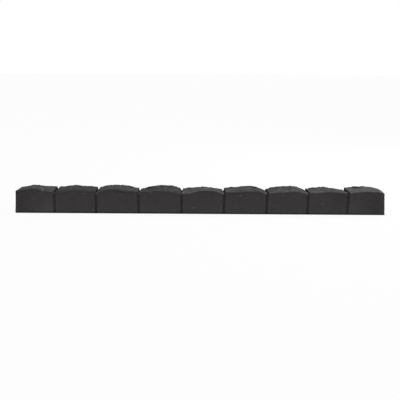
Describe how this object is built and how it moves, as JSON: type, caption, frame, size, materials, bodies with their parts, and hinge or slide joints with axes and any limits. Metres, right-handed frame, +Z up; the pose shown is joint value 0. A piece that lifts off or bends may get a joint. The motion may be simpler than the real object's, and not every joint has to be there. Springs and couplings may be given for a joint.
{
  "type": "rubber lawn edging",
  "caption": "Straight moulded length of rubber lawn edging shaped like a row of rough-hewn stones with V joints; it stands on its flat base along the border of a lawn or bed.",
  "frame": {"origin": "middle of the flat base, on the ground plane", "axes": "+X along the row of stones, -Y out of the lawn face that the picture shows, +Z up"},
  "size_m": [1.22, 0.0758, 0.0831],
  "materials": {
    "rubber": "matt bonded rubber crumb, near-black grey, with a riven stone relief"
  },
  "bodies": {
    "root": {"rubber_edging": "rubber"}
  },
  "joints": []
}
